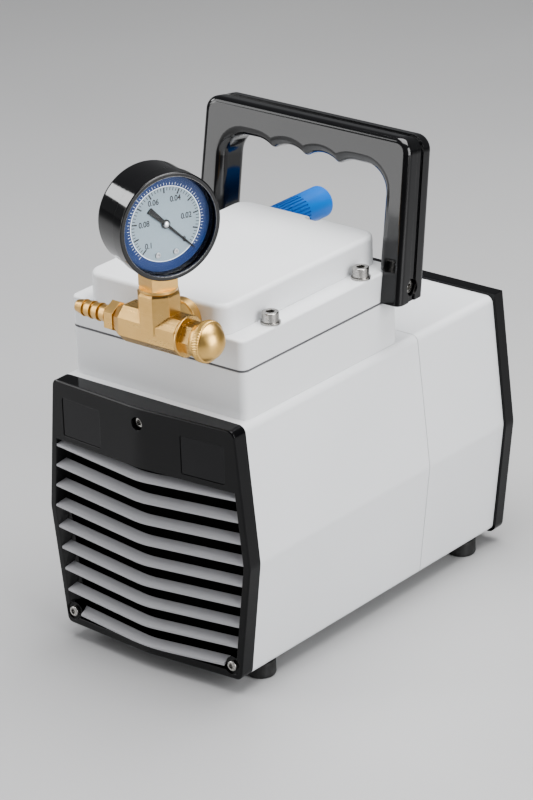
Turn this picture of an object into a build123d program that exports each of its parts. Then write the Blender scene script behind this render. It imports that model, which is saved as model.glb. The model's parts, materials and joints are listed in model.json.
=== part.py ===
"""Portable oil-free vacuum pump with a bleed regulator, a dial gauge and a carrying handle.

Millimetres. +X is the operator's right, +Y runs from the louvred front to the rear panel, +Z is up.
The origin is on the bench, in the middle of the pump's overall box.
"""

from math import atan, cos, radians, sin, tan

from build123d import *

import os

# --- Housing -------------------------------------------------------------------------------------
wide_half = 65.0                 # half width at the widest line of the six-sided section
top_half = 58.3                  # half width across the top
low_half = 57.0                  # half width across the underside
foot_height = 8.4                # bench to the underside
wide_height = 71.5               # bench to the widest line
top_height = 142.7               # bench to the top face
cover_length = 203.0             # front face to rear face of the white covers
seam_depth = 138.0               # front face to the joint between the two covers
seam_gap = 0.3
cover_wall = 2.5
cover_front = -84.5              # frame Y of the covers' front face

# --- Front and rear panels -----------------------------------------------------------------------
panel_side = 8.3                 # thickness of the front panel at its side edges
panel_prow = 12.8                # thickness at the ridge down its middle
ridge_radius = 60.0
blade_count = 9
blade_pitch = 11.4
blade_tilt = 28.0
blade_thick = 1.2
blade_side = 8.0                 # blades' front edge, ahead of the covers, at the window's sides
blade_prow = 13.6                # the same at the ridge
blade_depth = 4.9
blade_ridge_radius = 60.0
lowest_blade = 15.7              # height of the lowest blade's front edge at its ends
window_top = 110.4
window_bottom = 12.6
rear_panel_thick = 8.0
rear_panel_proud = 1.5

# --- Head ----------------------------------------------------------------------------------------
head_half = 55.0
head_front = 4.4                 # behind the covers' front face
head_back = 126.6
block_top = 167.6
diaphragm_thick = 1.0
plate_top = 183.8
cap_half = 44.0
cap_top = 199.3
bolt_x = 50.2
bolt_depths = (31.8, 103.2)
bore_radius = 41.0               # working chamber under the diaphragm

# --- Drive ---------------------------------------------------------------------------------------
shaft_height = 66.0
shaft_radius = 5.0
running_gap = 0.03
throw = 3.5                      # eccentricity of the crank
rod_width = 11.0
stator_front = 101.0
stator_length = 48.0
bearing_radius = 13.0
bearing_length = 8.0
bearing_depths = (38.0, 84.5, 160.0)

# --- Inlet fittings ------------------------------------------------------------------------------
fitting_x = 20.5                 # axis of the gauge stem
fitting_depth = -15.0            # axis of the cross fitting, in front of the covers
fitting_height = 189.8
arm_flat = 18.6                  # across the flats of the octagonal arms
barb_tip = -31.8
nut_left = -9.3
cross_left = -4.0
cross_right = 37.4
stem_top = 211.5
exhaust_x = -24.0
exhaust_height = 189.8

# --- Gauge ---------------------------------------------------------------------------------------
gauge_height = 246.2
gauge_turn = 69.0                # degrees from the pump's front towards its right side
gauge_radius = 26.7
gauge_face = 15.5                # stem axis to the front of the bezel
dial_radius = 24.3
dial_offset = 10.0               # stem axis to the dial's printed face
zero_angle = -45.0               # pointer direction at zero vacuum

# --- Handle --------------------------------------------------------------------------------------
handle_depth = 111.8             # front of the legs at their foot, behind the covers' front face
handle_base = 168.6
handle_lean = 9.0
handle_thick = 20.5
handle_foot_half = 67.0
handle_top_half = 65.3
handle_rise = 84.9               # along the lean
grip_edge = 67.6                 # along the lean, to the underside of the grip
opening_half = 51.5
opening_rounding = 5.0
saddle_half = 55.3               # half width between the legs where they straddle the head plate
saddle_height = 185.0
finger_pitch = 21.0
finger_rise = 3.4

# --- Feet ----------------------------------------------------------------------------------------
foot_radius = 7.6
foot_x = 49.0
foot_depths = (16.5, 186.0)

cover_floor = foot_height + cover_wall
head_mid = (head_front + head_back) / 2
fitting_y = cover_front + fitting_depth
arm_cut = 4.8                    # depth of the 45 degree faces of the octagonal arms


# --- Shared planes and sections ------------------------------------------------------------------
def across(depth):
    """Plane facing the operator, at a depth behind the covers' front; its axes are X and Z."""
    return Plane((0, cover_front + depth, 0), x_dir=(1, 0, 0), z_dir=(0, -1, 0))


def level(height):
    """Horizontal plane at a height, with its origin on the covers' front face."""
    return Plane((0, cover_front, height))


def sideways(x):
    """Plane facing +X; its axes are Y, from the covers' front face, and Z."""
    return Plane((x, cover_front, 0), x_dir=(0, 1, 0), z_dir=(1, 0, 0))


def gauge_plane(offset):
    """Plane facing the gauge's reader, ahead of the stem by an offset."""
    turn = radians(gauge_turn)
    ahead = Vector(sin(turn), -cos(turn), 0)
    centre = Vector(fitting_x, fitting_y, gauge_height) + ahead * offset
    return Plane(centre, x_dir=(cos(turn), sin(turn), 0), z_dir=ahead)


def leaning_plane(back):
    """Plane of the handle's front face, moved back through its thickness."""
    lean = radians(handle_lean)
    foot = (0, cover_front + handle_depth, handle_base)
    return Plane(foot, x_dir=(1, 0, 0), z_dir=(0, -cos(lean), sin(lean))).offset(-back)


def housing_points(inset):
    """Corners of the six-sided housing section, moved inwards by an inset."""
    right = [
        (low_half - inset, foot_height + inset),
        (wide_half - inset, wide_height),
        (top_half - inset, top_height - inset),
    ]
    left = [(-x, z) for x, z in reversed(right)]
    return right + left


def housing_section(plane, inset=0.0):
    """Face of the housing section with its corners eased."""
    with BuildSketch(plane) as section:
        Polygon(*housing_points(inset), align=None)
        sides = section.vertices().filter_by_position(Axis.Y, wide_height - 1, wide_height + 1)
        fillet(sides, radius=12)
        top = section.vertices().filter_by_position(Axis.Y, top_height - inset - 1, top_height)
        fillet(top, radius=4 - inset)
        low = section.vertices().filter_by_position(Axis.Y, 0, foot_height + inset + 1)
        fillet(low, radius=3.5 - inset)
    return section.sketch


def octagon(cut):
    """Octagonal outline of a fitting arm: a square of arm_flat with its corners cut back."""
    half = arm_flat / 2
    near = half - cut
    return [(half, near), (near, half), (-near, half), (-half, near),
            (-half, -near), (-near, -half), (near, -half), (half, -near)]


def finish(part, name, colour):
    """Label, colour and write one finished piece."""
    part.label = name
    part.color = Color(*colour)
    export_step(part, f"parts/{name}.step")


os.makedirs("parts", exist_ok=True)

white = (0.88, 0.89, 0.90)
black = (0.04, 0.04, 0.045)
brass = (0.83, 0.66, 0.36)
steel = (0.62, 0.63, 0.65)
rubber = (0.06, 0.06, 0.06)
copper = (0.65, 0.33, 0.16)


# --- Covers --------------------------------------------------------------------------------------
def cover(front, back):
    """One white cover: a sleeve of the housing section between two depths."""
    with BuildPart() as sleeve:
        extrude(housing_section(across(front)), amount=front - back)
        extrude(housing_section(across(front), cover_wall), amount=front - back, mode=Mode.SUBTRACT)
    return sleeve.part


with BuildPart() as front_cover:
    add(cover(0, seam_depth - seam_gap / 2))
    with BuildSketch(level(top_height + 1)):
        with Locations((0, head_mid)):
            Circle(bore_radius)
    extrude(amount=-cover_wall - 2, mode=Mode.SUBTRACT)
    with BuildSketch(level(top_height + 1)):
        with Locations(*[(x, depth) for x in (-bolt_x, bolt_x) for depth in bolt_depths]):
            Circle(2.7)
    extrude(amount=-cover_wall - 2, mode=Mode.SUBTRACT)
    with BuildSketch(level(foot_height - 1)):
        with Locations((-foot_x, foot_depths[0]), (foot_x, foot_depths[0])):
            Circle(2.2)
    extrude(amount=cover_wall + 2, mode=Mode.SUBTRACT)
finish(front_cover.part, "front_cover", white)

with BuildPart() as rear_cover:
    add(cover(seam_depth + seam_gap / 2, cover_length))
    with BuildSketch(level(foot_height - 1)):
        with Locations((-foot_x, foot_depths[1]), (foot_x, foot_depths[1])):
            Circle(2.2)
    extrude(amount=cover_wall + 2, mode=Mode.SUBTRACT)
finish(rear_cover.part, "rear_cover", white)

base_thick = 2.5
base_top = cover_floor + base_thick
foot_places = [(x, depth) for x in (-foot_x, foot_x) for depth in foot_depths]
with BuildPart() as base_plate:
    with BuildSketch(level(cover_floor)):
        with Locations((0, cover_length / 2)):
            RectangleRounded(2 * low_half - 9, cover_length - 8, 5)
        with Locations(*foot_places):
            Circle(2.0, mode=Mode.SUBTRACT)
    extrude(amount=base_thick)
finish(base_plate.part, "base_plate", steel)


# --- Front panel and louvres ---------------------------------------------------------------------
def prow_solid(side, middle, radius):
    """Everything behind a ridged front that stands ahead of the covers by side and middle."""
    reach = wide_half + 10
    edge = middle - (middle - side) / wide_half * reach
    with BuildPart() as solid:
        with BuildSketch(level(0)):
            with BuildLine():
                FilletPolyline((-reach, -edge), (0, -middle), (reach, -edge), radius=radius)
                Polyline((reach, -edge), (reach, 1), (-reach, 1), (-reach, -edge))
            make_face()
        extrude(amount=top_height + 5)
    return solid.part


panel_slope = (panel_prow - panel_side) / wide_half


def panel_face(side, x):
    """Plane lying on the front panel's sloping face, centred on a label place."""
    turn = atan(panel_slope)
    origin = (side * x, cover_front - panel_prow + panel_slope * x, label_height)
    facing = (side * sin(turn), -cos(turn), 0)
    return Plane(origin, x_dir=(cos(turn), side * sin(turn), 0), z_dir=facing)


def window_section(inset):
    """Louvre window outline: the housing section moved inwards, between two heights."""
    def half_at(height):
        if height < wide_height:
            share = (height - foot_height) / (wide_height - foot_height)
            return low_half + (wide_half - low_half) * share - inset
        share = (top_height - height) / (top_height - wide_height)
        return top_half + (wide_half - top_half) * share - inset
    heights = (window_bottom, wide_height, window_top)
    right = [(half_at(height), height) for height in heights]
    return right + [(-x, z) for x, z in reversed(right)]


def louvre_window():
    """Solid of the window, narrowing towards the back, which the blades fill from wall to wall."""
    with BuildPart() as window:
        with BuildSketch(across(-14)):
            Polygon(*window_section(1.0), align=None)
        with BuildSketch(across(0.5)):
            Polygon(*window_section(8.4), align=None)
        loft(ruled=True)
    return window.part


corner_screw_x = 52.0
corner_screw_height = 15.6
corner_screws = [(-corner_screw_x, corner_screw_height), (corner_screw_x, corner_screw_height)]
middle_screw = (0, 134.0)
middle_screw_floor = 8.8        # seat of the middle screw's head, ahead of the covers
label_x = 39.0
label_height = 123.6
label_size = (26.0, 20.4)
label_recess = 0.7

with BuildPart() as front_panel:
    extrude(housing_section(across(0)), amount=panel_prow + 2)
    add(prow_solid(panel_side, panel_prow, ridge_radius), mode=Mode.INTERSECT)
    rim = front_panel.edges().filter_by_position(
        Axis.Y, cover_front - panel_prow - 1, cover_front - panel_side + 0.5)
    chamfer(rim.filter_by(lambda edge: abs(edge.center().X) > 1 or edge.length > 20), length=0.6)
    add(louvre_window(), mode=Mode.SUBTRACT)
    with BuildSketch(across(0)):
        with Locations(*corner_screws):
            Circle(4.6)
    extrude(amount=panel_side)
    with BuildSketch(across(-panel_side)):
        with Locations(*corner_screws):
            Circle(4.6)
    extrude(amount=10, mode=Mode.SUBTRACT)
    with BuildSketch(across(-middle_screw_floor)):
        with Locations(middle_screw):
            Circle(3.4)
    extrude(amount=10, mode=Mode.SUBTRACT)
    with BuildSketch(across(0)):
        with Locations(*corner_screws, middle_screw):
            Circle(1.7)
    extrude(amount=20, mode=Mode.SUBTRACT)
    for side in (-1, 1):
        with BuildSketch(panel_face(side, label_x).offset(-label_recess)):
            RectangleRounded(*label_size, 1.0)
        extrude(amount=label_recess + 1, mode=Mode.SUBTRACT)
finish(front_panel.part, "front_panel", black)

with BuildPart() as label_plates:
    for side in (-1, 1):
        with BuildSketch(panel_face(side, label_x).offset(-label_recess)):
            RectangleRounded(label_size[0] - 0.4, label_size[1] - 0.4, 0.8)
        extrude(amount=0.4)
finish(label_plates.part, "label_plates", (0.10, 0.10, 0.11))

blade_slope = tan(radians(blade_tilt))
with BuildPart() as louvre_blades:
    with BuildSketch(sideways(-70)):
        for number in range(blade_count):
            edge = lowest_blade + blade_pitch * number + blade_thick / 2
            start = edge + (blade_side - 14) * blade_slope
            Polygon((-14, start), (1, start + 15 * blade_slope),
                    (1, start + 15 * blade_slope - blade_thick), (-14, start - blade_thick),
                    align=None)
    extrude(amount=140)
    add(louvre_window(), mode=Mode.INTERSECT)
    add(prow_solid(blade_side, blade_prow, blade_ridge_radius), mode=Mode.INTERSECT)
    add(prow_solid(blade_side - blade_depth, blade_prow - blade_depth, blade_ridge_radius),
        mode=Mode.SUBTRACT)
    with BuildSketch(across(0)):
        with Locations(*corner_screws):
            Circle(5.0)
    extrude(amount=20, mode=Mode.SUBTRACT)
finish(louvre_blades.part, "louvre_blades", (0.72, 0.72, 0.74))

with BuildPart() as air_filter:
    with BuildSketch(across(-0.9)):
        Polygon(*window_section(8.0), align=None)
        with Locations(*corner_screws):
            Circle(5.0, mode=Mode.SUBTRACT)
    extrude(amount=0.8)
finish(air_filter.part, "air_filter", rubber)


def socket_screw(plane, places, head_radius, head_height, shank_radius, shank_length, socket):
    """Socket-head screws on a plane: heads stand on it, shanks run behind it."""
    with BuildPart() as screws:
        with BuildSketch(plane):
            with Locations(*places):
                Circle(head_radius)
        extrude(amount=head_height)
        fronts = screws.faces().filter_by(lambda face: face.normal_at().dot(plane.z_dir) > 0.99)
        fillet(fronts.edges(), radius=min(0.5, 0.3 * head_height))
        with BuildSketch(plane):
            with Locations(*places):
                Circle(shank_radius)
        extrude(amount=-shank_length)
        with BuildSketch(plane.offset(head_height)):
            with Locations(*places):
                RegularPolygon(socket, 6)
        extrude(amount=-head_height * 0.6, mode=Mode.SUBTRACT)
    return screws.part


with BuildPart() as panel_screws:
    add(socket_screw(across(-panel_side), corner_screws, 2.7, 1.6, 1.5, 12, 1.7))
    add(socket_screw(across(-middle_screw_floor), [middle_screw], 2.9, 1.9, 1.5, 14, 1.7))
finish(panel_screws.part, "panel_screws", steel)

# --- Rear panel ----------------------------------------------------------------------------------
rear_face = cover_length + rear_panel_thick
inlet_place = (-26.0, 48.0)
switch_place = (28.0, 48.0)
rear_screw_places = [(-50, 20), (50, 20), (-50, 132), (50, 132)]
with BuildPart() as rear_panel:
    extrude(housing_section(across(cover_length), -rear_panel_proud), amount=-rear_panel_thick)
    rim = rear_panel.faces().sort_by(Axis.Y)[-1].edges()
    fillet(rim, radius=1.5)
    with BuildSketch(across(cover_length)):
        Polygon(*housing_points(6.0), align=None)
    extrude(amount=-(rear_panel_thick - 3.0), mode=Mode.SUBTRACT)
    with BuildSketch(across(rear_face + 1)):
        with Locations(inlet_place):
            Rectangle(27.4, 20.0)
        with Locations(switch_place):
            Rectangle(19.4, 13.2)
        with GridLocations(0, 7.0, 1, 6):
            with Locations((0, 104)):
                SlotOverall(64, 3.0)
        with Locations(*rear_screw_places):
            Circle(1.7)
    extrude(amount=10, mode=Mode.SUBTRACT)
    with BuildSketch(across(cover_length)):
        with Locations(*rear_screw_places):
            Circle(4.0)
            Circle(1.7, mode=Mode.SUBTRACT)
    extrude(amount=-(rear_panel_thick - 1.0))
finish(rear_panel.part, "rear_panel", black)

with BuildPart() as rear_panel_screws:
    backwards = Plane((0, cover_front + rear_face, 0), x_dir=(-1, 0, 0), z_dir=(0, 1, 0))
    add(socket_screw(backwards, rear_screw_places, 2.7, 1.6, 1.5, 14, 1.3))
finish(rear_panel_screws.part, "rear_panel_screws", steel)

with BuildPart() as power_inlet:
    with BuildSketch(across(rear_face)):
        with Locations(inlet_place):
            RectangleRounded(31.0, 24.0, 3.0)
    extrude(amount=-1.8)
    with BuildSketch(across(rear_face)):
        with Locations(inlet_place):
            Rectangle(27.2, 19.8)
    extrude(amount=22)
    with BuildSketch(across(rear_face + 1.8)):
        with Locations(inlet_place):
            Rectangle(24.0, 16.2)
    extrude(amount=17, mode=Mode.SUBTRACT)
    with BuildSketch(across(rear_face - 15.2)):
        with Locations(inlet_place):
            with Locations((-7, -2), (7, -2), (0, 2)):
                Rectangle(2.0, 4.0)
    extrude(amount=-10)
finish(power_inlet.part, "power_inlet", black)

rocker_half = 7.2
rocker_tilt = 8.0                # either side of level; at rest the switch is off
rocker_pivot = (switch_place[0], cover_front + rear_face - 1.0, switch_place[1])
rocker_pin_radius = 0.9
rocker_pin_reach = 5.9           # middle of the rocker to the ends of its pin
with BuildPart() as switch_bezel:
    with BuildSketch(across(rear_face)):
        with Locations(switch_place):
            RectangleRounded(22.0, 16.0, 1.0)
    extrude(amount=-1.6)
    with BuildSketch(across(rear_face)):
        with Locations(switch_place):
            Rectangle(19.2, 13.0)
    extrude(amount=16)
    with BuildSketch(across(rear_face + 1.6)):
        with Locations(switch_place):
            Rectangle(15.6, 10.4)
    extrude(amount=13, mode=Mode.SUBTRACT)
    with BuildSketch(Plane(rocker_pivot).offset(-rocker_pin_reach - 0.1)):
        Circle(rocker_pin_radius + running_gap)
    extrude(amount=2 * rocker_pin_reach + 0.2, mode=Mode.SUBTRACT)
finish(switch_bezel.part, "switch_bezel", black)

with BuildPart() as switch_rocker:
    with BuildSketch(Plane(rocker_pivot, x_dir=(1, 0, 0), z_dir=(0, 0, 1)).offset(-4.9)):
        with Locations(Location((0, 0), rocker_tilt)):
            Polygon((-5.6, -3.0), (5.6, -3.0), (rocker_half, 3.4), (0, 2.2), (-rocker_half, 3.4),
                    align=None)
    extrude(amount=9.8)
    ridges = switch_rocker.edges().filter_by(Axis.Z)
    fillet(ridges, radius=0.5)
    with BuildSketch(Plane(rocker_pivot).offset(-rocker_pin_reach)):
        Circle(rocker_pin_radius)
    extrude(amount=2 * rocker_pin_reach)
finish(switch_rocker.part, "switch_rocker", (0.55, 0.05, 0.04))

# --- Feet ----------------------------------------------------------------------------------------
with BuildPart() as rubber_feet:
    with BuildSketch(level(0)):
        with Locations(*foot_places):
            Circle(foot_radius)
    extrude(amount=foot_height)
    soles = rubber_feet.edges().filter_by(GeomType.CIRCLE).group_by(Axis.Z)[0]
    fillet(soles, radius=1.2)
    with BuildSketch(level(0)):
        with Locations(*foot_places):
            Circle(3.4)
    extrude(amount=4.0, mode=Mode.SUBTRACT)
    with BuildSketch(level(0)):
        with Locations(*foot_places):
            Circle(2.05)
    extrude(amount=foot_height + 1, mode=Mode.SUBTRACT)
finish(rubber_feet.part, "rubber_feet", rubber)

with BuildPart() as foot_screws:
    with BuildSketch(level(1.6)):
        with Locations(*foot_places):
            Circle(3.2)
    extrude(amount=2.4)
    with BuildSketch(level(4.0)):
        with Locations(*foot_places):
            Circle(1.95)
    extrude(amount=12.0)
finish(foot_screws.part, "foot_screws", steel)

# --- Head ----------------------------------------------------------------------------------------
head_length = head_back - head_front
bolt_places = [(x, depth) for x in (-bolt_x, bolt_x) for depth in bolt_depths]


def head_slab(bottom, top, corner):
    """Rounded slab of the head's plan outline between two heights, with its bolt holes."""
    with BuildPart() as slab:
        with BuildSketch(level(bottom)):
            with Locations((0, head_mid)):
                RectangleRounded(2 * head_half, head_length, corner)
            with Locations(*bolt_places):
                Circle(2.6, mode=Mode.SUBTRACT)
        extrude(amount=top - bottom)
    return slab.part


with BuildPart() as head_block:
    add(head_slab(top_height, block_top, 4.0))
    with BuildSketch(level(top_height)):
        with Locations((0, head_mid)):
            Circle(bore_radius - 1)
    extrude(amount=40, mode=Mode.SUBTRACT)
    chamfer(head_block.faces().sort_by(Axis.Z)[-1].outer_wire().edges(), length=0.5)
finish(head_block.part, "head_block", white)

with BuildPart() as diaphragm:
    add(head_slab(block_top, block_top + diaphragm_thick, 4.0))
    with BuildSketch(level(block_top)):
        with Locations((0, head_mid)):
            Circle(33)
            Circle(28, mode=Mode.SUBTRACT)
    extrude(amount=diaphragm_thick + 1.6)
finish(diaphragm.part, "diaphragm", rubber)

plate_bottom = block_top + diaphragm_thick
side_screw_depth = 123.3
side_screw_height = 175.6
with BuildPart() as head_plate:
    add(head_slab(plate_bottom, plate_top, 4.0))
    with BuildSketch(level(plate_bottom)):
        with Locations((0, head_mid)):
            Circle(bore_radius - 2)
    extrude(amount=6.5, mode=Mode.SUBTRACT)
    with BuildSketch(level(plate_bottom)):
        with Locations((-14, head_mid), (14, head_mid)):
            Circle(5)
    extrude(amount=40, mode=Mode.SUBTRACT)
    with BuildSketch(sideways(-head_half)):
        with Locations((side_screw_depth, side_screw_height)):
            Circle(2.0)
    extrude(amount=10, mode=Mode.SUBTRACT)
    with BuildSketch(sideways(head_half)):
        with Locations((side_screw_depth, side_screw_height)):
            Circle(2.0)
    extrude(amount=-10, mode=Mode.SUBTRACT)
    rims = head_plate.faces().sort_by(Axis.Z)[-1].outer_wire().edges()
    fillet(rims, radius=1.2)
finish(head_plate.part, "head_plate", white)

cap_wall = 4.0
with BuildPart() as head_cover:
    with BuildSketch(level(plate_top)):
        with Locations((0, head_mid)):
            RectangleRounded(2 * cap_half, head_length, 8.0)
    extrude(amount=cap_top - plate_top)
    fillet(head_cover.faces().sort_by(Axis.Z)[-1].edges(), radius=2.4)
    with BuildSketch(level(plate_top)):
        with Locations((0, head_mid)):
            RectangleRounded(2 * (cap_half - cap_wall), head_length - 2 * cap_wall, 4.0)
    extrude(amount=cap_top - plate_top - 3.5, mode=Mode.SUBTRACT)
    with BuildSketch(across(head_front - 1)):
        with Locations((fitting_x, fitting_height)):
            Circle(5.0)
    extrude(amount=-cap_wall - 4, mode=Mode.SUBTRACT)
    with BuildSketch(across(head_back + 1)):
        with Locations((exhaust_x, exhaust_height)):
            Circle(4.5)
    extrude(amount=cap_wall + 4, mode=Mode.SUBTRACT)
    with BuildSketch(level(cap_top - 2.5)):
        with Locations((4.5, head_back + 1)):
            RectangleRounded(9.0, 13.0, 3.0)
    extrude(amount=4, mode=Mode.SUBTRACT)
finish(head_cover.part, "head_cover", white)

washer_thick = 1.0
with BuildPart() as head_washers:
    with BuildSketch(level(plate_top)):
        with Locations(*bolt_places):
            Circle(5.0)
            Circle(2.6, mode=Mode.SUBTRACT)
    extrude(amount=washer_thick)
finish(head_washers.part, "head_washers", steel)

with BuildPart() as head_bolts:
    add(socket_screw(level(plate_top + washer_thick), bolt_places, 4.25, 5.0, 2.5, 48, 2.3))
finish(head_bolts.part, "head_bolts", steel)

nut_top = top_height - cover_wall
with BuildPart() as head_nuts:
    with BuildSketch(level(nut_top)):
        with Locations(*bolt_places):
            RegularPolygon(4.0, 6, major_radius=False, rotation=30)
            Circle(2.5, mode=Mode.SUBTRACT)
    extrude(amount=-4.0)
finish(head_nuts.part, "head_nuts", steel)

valve_top = plate_top + 2.5
with BuildPart() as valve_plate:
    with BuildSketch(level(plate_top)):
        with Locations((0, head_mid)):
            RectangleRounded(74, 104, 3)
        with Locations((-14, head_mid), (14, head_mid)):
            with PolarLocations(3.0, 6):
                Circle(0.9, mode=Mode.SUBTRACT)
    extrude(amount=valve_top - plate_top)
finish(valve_plate.part, "valve_plate", steel)

with BuildPart() as valve_flaps:
    with BuildSketch(level(valve_top)):
        with Locations((-14, head_mid), (14, head_mid)):
            Circle(7)
    extrude(amount=0.8)
finish(valve_flaps.part, "valve_flaps", rubber)

clamp_low = block_top - 3.0
with BuildPart() as diaphragm_clamp:
    with BuildSketch(level(clamp_low)):
        with Locations((0, head_mid)):
            Circle(24)
    extrude(amount=3.0)
    with BuildSketch(level(plate_bottom)):
        with Locations((0, head_mid)):
            Circle(24)
    extrude(amount=2.5)
finish(diaphragm_clamp.part, "diaphragm_clamp", steel)

# --- Motor and crank -----------------------------------------------------------------------------
shaft_place = (0, shaft_height)
shaft_front = 13.0
shaft_back = 171.0


def shaft_disc(radius, front, back, bore=0.0, place=shaft_place):
    """Round piece about the shaft line between two depths, with an optional bore."""
    with BuildPart() as disc:
        with BuildSketch(across(front)):
            with Locations(place):
                Circle(radius)
                if bore:
                    Circle(bore, mode=Mode.SUBTRACT)
        extrude(amount=front - back)
    return disc.part


with BuildPart() as motor_shaft:
    add(shaft_disc(shaft_radius, shaft_front, shaft_back))
    chamfer(motor_shaft.edges().filter_by(GeomType.CIRCLE), length=0.6)
finish(motor_shaft.part, "motor_shaft", steel)

with BuildPart() as rotor_core:
    add(shaft_disc(24.0, stator_front, stator_front + stator_length, shaft_radius))
finish(rotor_core.part, "rotor_core", steel)

stator_half = 40.0
with BuildPart() as stator_core:
    with BuildSketch(across(stator_front)):
        with Locations(shaft_place):
            RectangleRounded(2 * stator_half, 2 * stator_half, 14)
            Circle(35.0, mode=Mode.SUBTRACT)
            Circle(29.0)
            Circle(24.5, mode=Mode.SUBTRACT)
            with PolarLocations(32.0, 12):
                Rectangle(8.0, 4.5)
    extrude(amount=-stator_length)
finish(stator_core.part, "stator_core", steel)

coil_length = 8.0
with BuildPart() as stator_windings:
    for front in (stator_front - coil_length, stator_front + stator_length):
        add(shaft_disc(34.0, front, front + coil_length, 27.0))
    rounded = stator_windings.edges().filter_by(GeomType.CIRCLE)
    fillet(rounded, radius=2.0)
finish(stator_windings.part, "stator_windings", copper)


def bearing_bracket(front, thick, half):
    """Upright plate that carries a bearing, standing on the base plate."""
    top = shaft_height + half
    with BuildPart() as bracket:
        with BuildSketch(across(front)):
            with Locations((0, (base_top + top) / 2)):
                RectangleRounded(2 * half, top - base_top, 10)
            with Locations((0, base_top + 6)):
                Rectangle(2 * half, 12)
            with Locations(shaft_place):
                Circle(bearing_radius, mode=Mode.SUBTRACT)
                with PolarLocations(half * 0.68, 4, start_angle=45):
                    Circle(half * 0.16, mode=Mode.SUBTRACT)
        extrude(amount=-thick)
        with BuildSketch(level(base_top)):
            with Locations((0, front + thick / 2)):
                Rectangle(2 * half, thick + 12)
        extrude(amount=3.0)
    return bracket.part


with BuildPart() as crank_bracket:
    add(bearing_bracket(bearing_depths[0], bearing_length, 38.0))
finish(crank_bracket.part, "crank_bracket", (0.7, 0.7, 0.72))

with BuildPart() as front_motor_shield:
    add(bearing_bracket(bearing_depths[1], bearing_length, 42.0))
finish(front_motor_shield.part, "front_motor_shield", (0.7, 0.7, 0.72))

with BuildPart() as rear_motor_shield:
    add(bearing_bracket(bearing_depths[2], bearing_length, 42.0))
finish(rear_motor_shield.part, "rear_motor_shield", (0.7, 0.7, 0.72))

with BuildPart() as shaft_bearings:
    for front in bearing_depths:
        add(shaft_disc(bearing_radius, front, front + bearing_length, shaft_radius + running_gap))
finish(shaft_bearings.part, "shaft_bearings", steel)

stud_reach = stator_half - 5.0
with BuildPart() as motor_studs:
    with BuildSketch(across(bearing_depths[1] + bearing_length)):
        with Locations(shaft_place):
            with GridLocations(2 * stud_reach, 2 * stud_reach, 2, 2):
                Circle(2.0)
    extrude(amount=-(stator_front - bearing_depths[1] - bearing_length))
    with BuildSketch(across(stator_front + stator_length)):
        with Locations(shaft_place):
            with GridLocations(2 * stud_reach, 2 * stud_reach, 2, 2):
                Circle(2.0)
    extrude(amount=-(bearing_depths[2] - stator_front - stator_length))
finish(motor_studs.part, "motor_studs", steel)

pin_radius = 9.5
pin_place = (0, shaft_height - throw)
rod_front = head_mid - rod_width / 2
rod_back = head_mid + rod_width / 2
with BuildPart() as eccentric:
    add(shaft_disc(pin_radius, rod_front - 2, rod_back + 2, place=pin_place))
    add(shaft_disc(shaft_radius, rod_front - 3, rod_back + 3), mode=Mode.SUBTRACT)
finish(eccentric.part, "eccentric", steel)

weight_front = rod_back + 3
with BuildPart() as counterweight:
    with BuildSketch(across(weight_front)):
        with Locations(shaft_place):
            Circle(20)
        with Locations((0, shaft_height - 15)):
            Rectangle(50, 22, mode=Mode.SUBTRACT)
        with Locations(shaft_place):
            Circle(9)
            Circle(shaft_radius, mode=Mode.SUBTRACT)
    extrude(amount=-7.0)
finish(counterweight.part, "counterweight", steel)

rod_bearing_radius = 15.0
with BuildPart() as crank_bearing:
    add(shaft_disc(rod_bearing_radius, rod_front, rod_back, pin_radius + running_gap, pin_place))
finish(crank_bearing.part, "crank_bearing", steel)

rod_top = clamp_low - 2 * throw - 1.5
with BuildPart() as connecting_rod:
    add(shaft_disc(20.0, rod_front, rod_back, rod_bearing_radius, pin_place))
    with BuildSketch(across(rod_front + 1.5)):
        with BuildLine():
            low = pin_place[1] + 18.5
            Polyline((-9, low), (9, low), (6, rod_top - 3), (-6, rod_top - 3), (-9, low))
        make_face()
    extrude(amount=-(rod_width - 3))
    with BuildSketch(level(rod_top - 4)):
        with Locations((0, head_mid)):
            Circle(16)
    extrude(amount=4)
finish(connecting_rod.part, "connecting_rod", (0.7, 0.7, 0.72))

fan_blades = 7
fan_front = 16.0
with BuildPart() as cooling_fan:
    add(shaft_disc(11.0, fan_front, fan_front + 14, shaft_radius))
    with BuildSketch(across(fan_front + 2)):
        with Locations(shaft_place):
            with PolarLocations(25, fan_blades):
                Rectangle(32, 2.4, rotation=12)
    extrude(amount=-10)
    add(shaft_disc(42.0, fan_front + 11.5, fan_front + 13.5, 34.0))
    add(shaft_disc(shaft_radius, fan_front - 1, fan_front + 16), mode=Mode.SUBTRACT)
finish(cooling_fan.part, "cooling_fan", (0.2, 0.2, 0.22))

with BuildPart() as run_capacitor:
    with BuildSketch(Plane((0, cover_front + 185, 122), x_dir=(0, 1, 0), z_dir=(1, 0, 0)).offset(-24)):
        Circle(12.5)
    extrude(amount=48)
    fillet(run_capacitor.edges().filter_by(GeomType.CIRCLE), radius=1.5)
finish(run_capacitor.part, "run_capacitor", (0.75, 0.76, 0.78))


# --- Inlet fittings ------------------------------------------------------------------------------
def fitting_end(x):
    """Plane across the fitting's main bar, facing +X; its axes are Y and Z about the bar's centre."""
    return Plane((x, fitting_y, fitting_height), x_dir=(0, 1, 0), z_dir=(1, 0, 0))


stem_plane = Plane((fitting_x, fitting_y, fitting_height))
port_face = Plane((fitting_x, cover_front + head_front, fitting_height), x_dir=(1, 0, 0), z_dir=(0, -1, 0))
port_reach = head_front - fitting_depth
collar_thick = 6.0

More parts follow.
